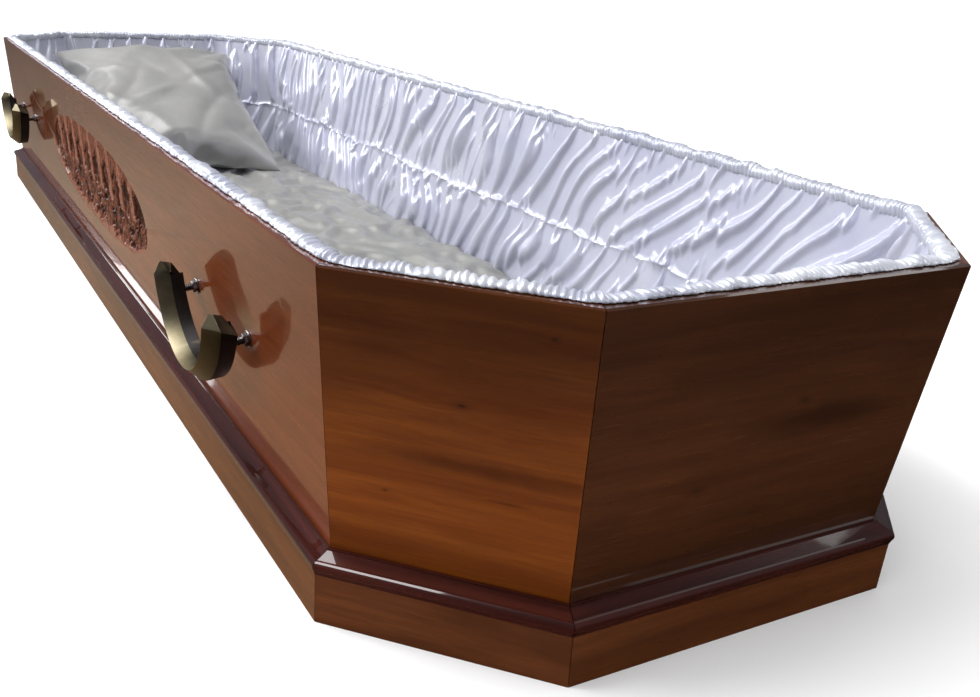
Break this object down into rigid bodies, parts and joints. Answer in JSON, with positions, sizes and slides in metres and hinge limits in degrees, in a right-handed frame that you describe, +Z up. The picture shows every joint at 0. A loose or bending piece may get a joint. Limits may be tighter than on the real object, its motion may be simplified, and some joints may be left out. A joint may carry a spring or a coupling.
{
  "type": "coffin",
  "caption": "Open wooden coffin with slanting octagonal boards on a moulded plinth, ridged half-ring handles, a carved oval on each side, gathered satin lining, mattress and pillow.",
  "frame": {"origin": "on the floor, under the middle of the coffin", "axes": "+X across the coffin to its right-hand side seen from the foot, +Y from the foot to the head, +Z up"},
  "size_m": [0.7012, 1.9986, 0.304],
  "materials": {
    "lacquered_wood": "high-gloss lacquer over stained wood",
    "plinth_wood": "high-gloss lacquer over stained wood",
    "dark_moulding": "very glossy dark red-brown lacquer",
    "bare_wood": "bare sawn wood",
    "antique_brass": "antique brass with near-black sides",
    "steel": "bright zinc",
    "satin": "white satin"
  },
  "bodies": {
    "root": {"corner_foot_left_board": "lacquered_wood", "foot_board": "lacquered_wood", "corner_foot_right_board": "lacquered_wood", "side_right_board": "lacquered_wood", "corner_head_right_board": "lacquered_wood", "head_board": "lacquered_wood", "corner_head_left_board": "lacquered_wood", "side_left_board": "lacquered_wood", "corner_foot_left_plinth": "plinth_wood", "foot_plinth": "plinth_wood", "corner_foot_right_plinth": "plinth_wood", "side_right_plinth": "plinth_wood", "corner_head_right_plinth": "plinth_wood", "head_plinth": "plinth_wood", "corner_head_left_plinth": "plinth_wood", "side_left_plinth": "plinth_wood", "corner_foot_left_moulding": "dark_moulding", "foot_moulding": "dark_moulding", "corner_foot_right_moulding": "dark_moulding", "side_right_moulding": "dark_moulding", "corner_head_right_moulding": "dark_moulding", "head_moulding": "dark_moulding", "corner_head_left_moulding": "dark_moulding", "side_left_moulding": "dark_moulding", "floor_board": "bare_wood", "handle_left_foot": "antique_brass", "handle_left_head": "antique_brass", "handle_right_foot": "antique_brass", "handle_right_head": "antique_brass", "bolt_left_foot_outer": "steel", "bolt_left_foot_inner": "steel", "bolt_left_head_outer": "steel", "bolt_left_head_inner": "steel", "bolt_right_foot_outer": "steel", "bolt_right_foot_inner": "steel", "bolt_right_head_outer": "steel", "bolt_right_head_inner": "steel", "edge_band": "satin", "wall_lining": "satin", "mattress": "satin", "pillow": "satin"}
  },
  "joints": []
}
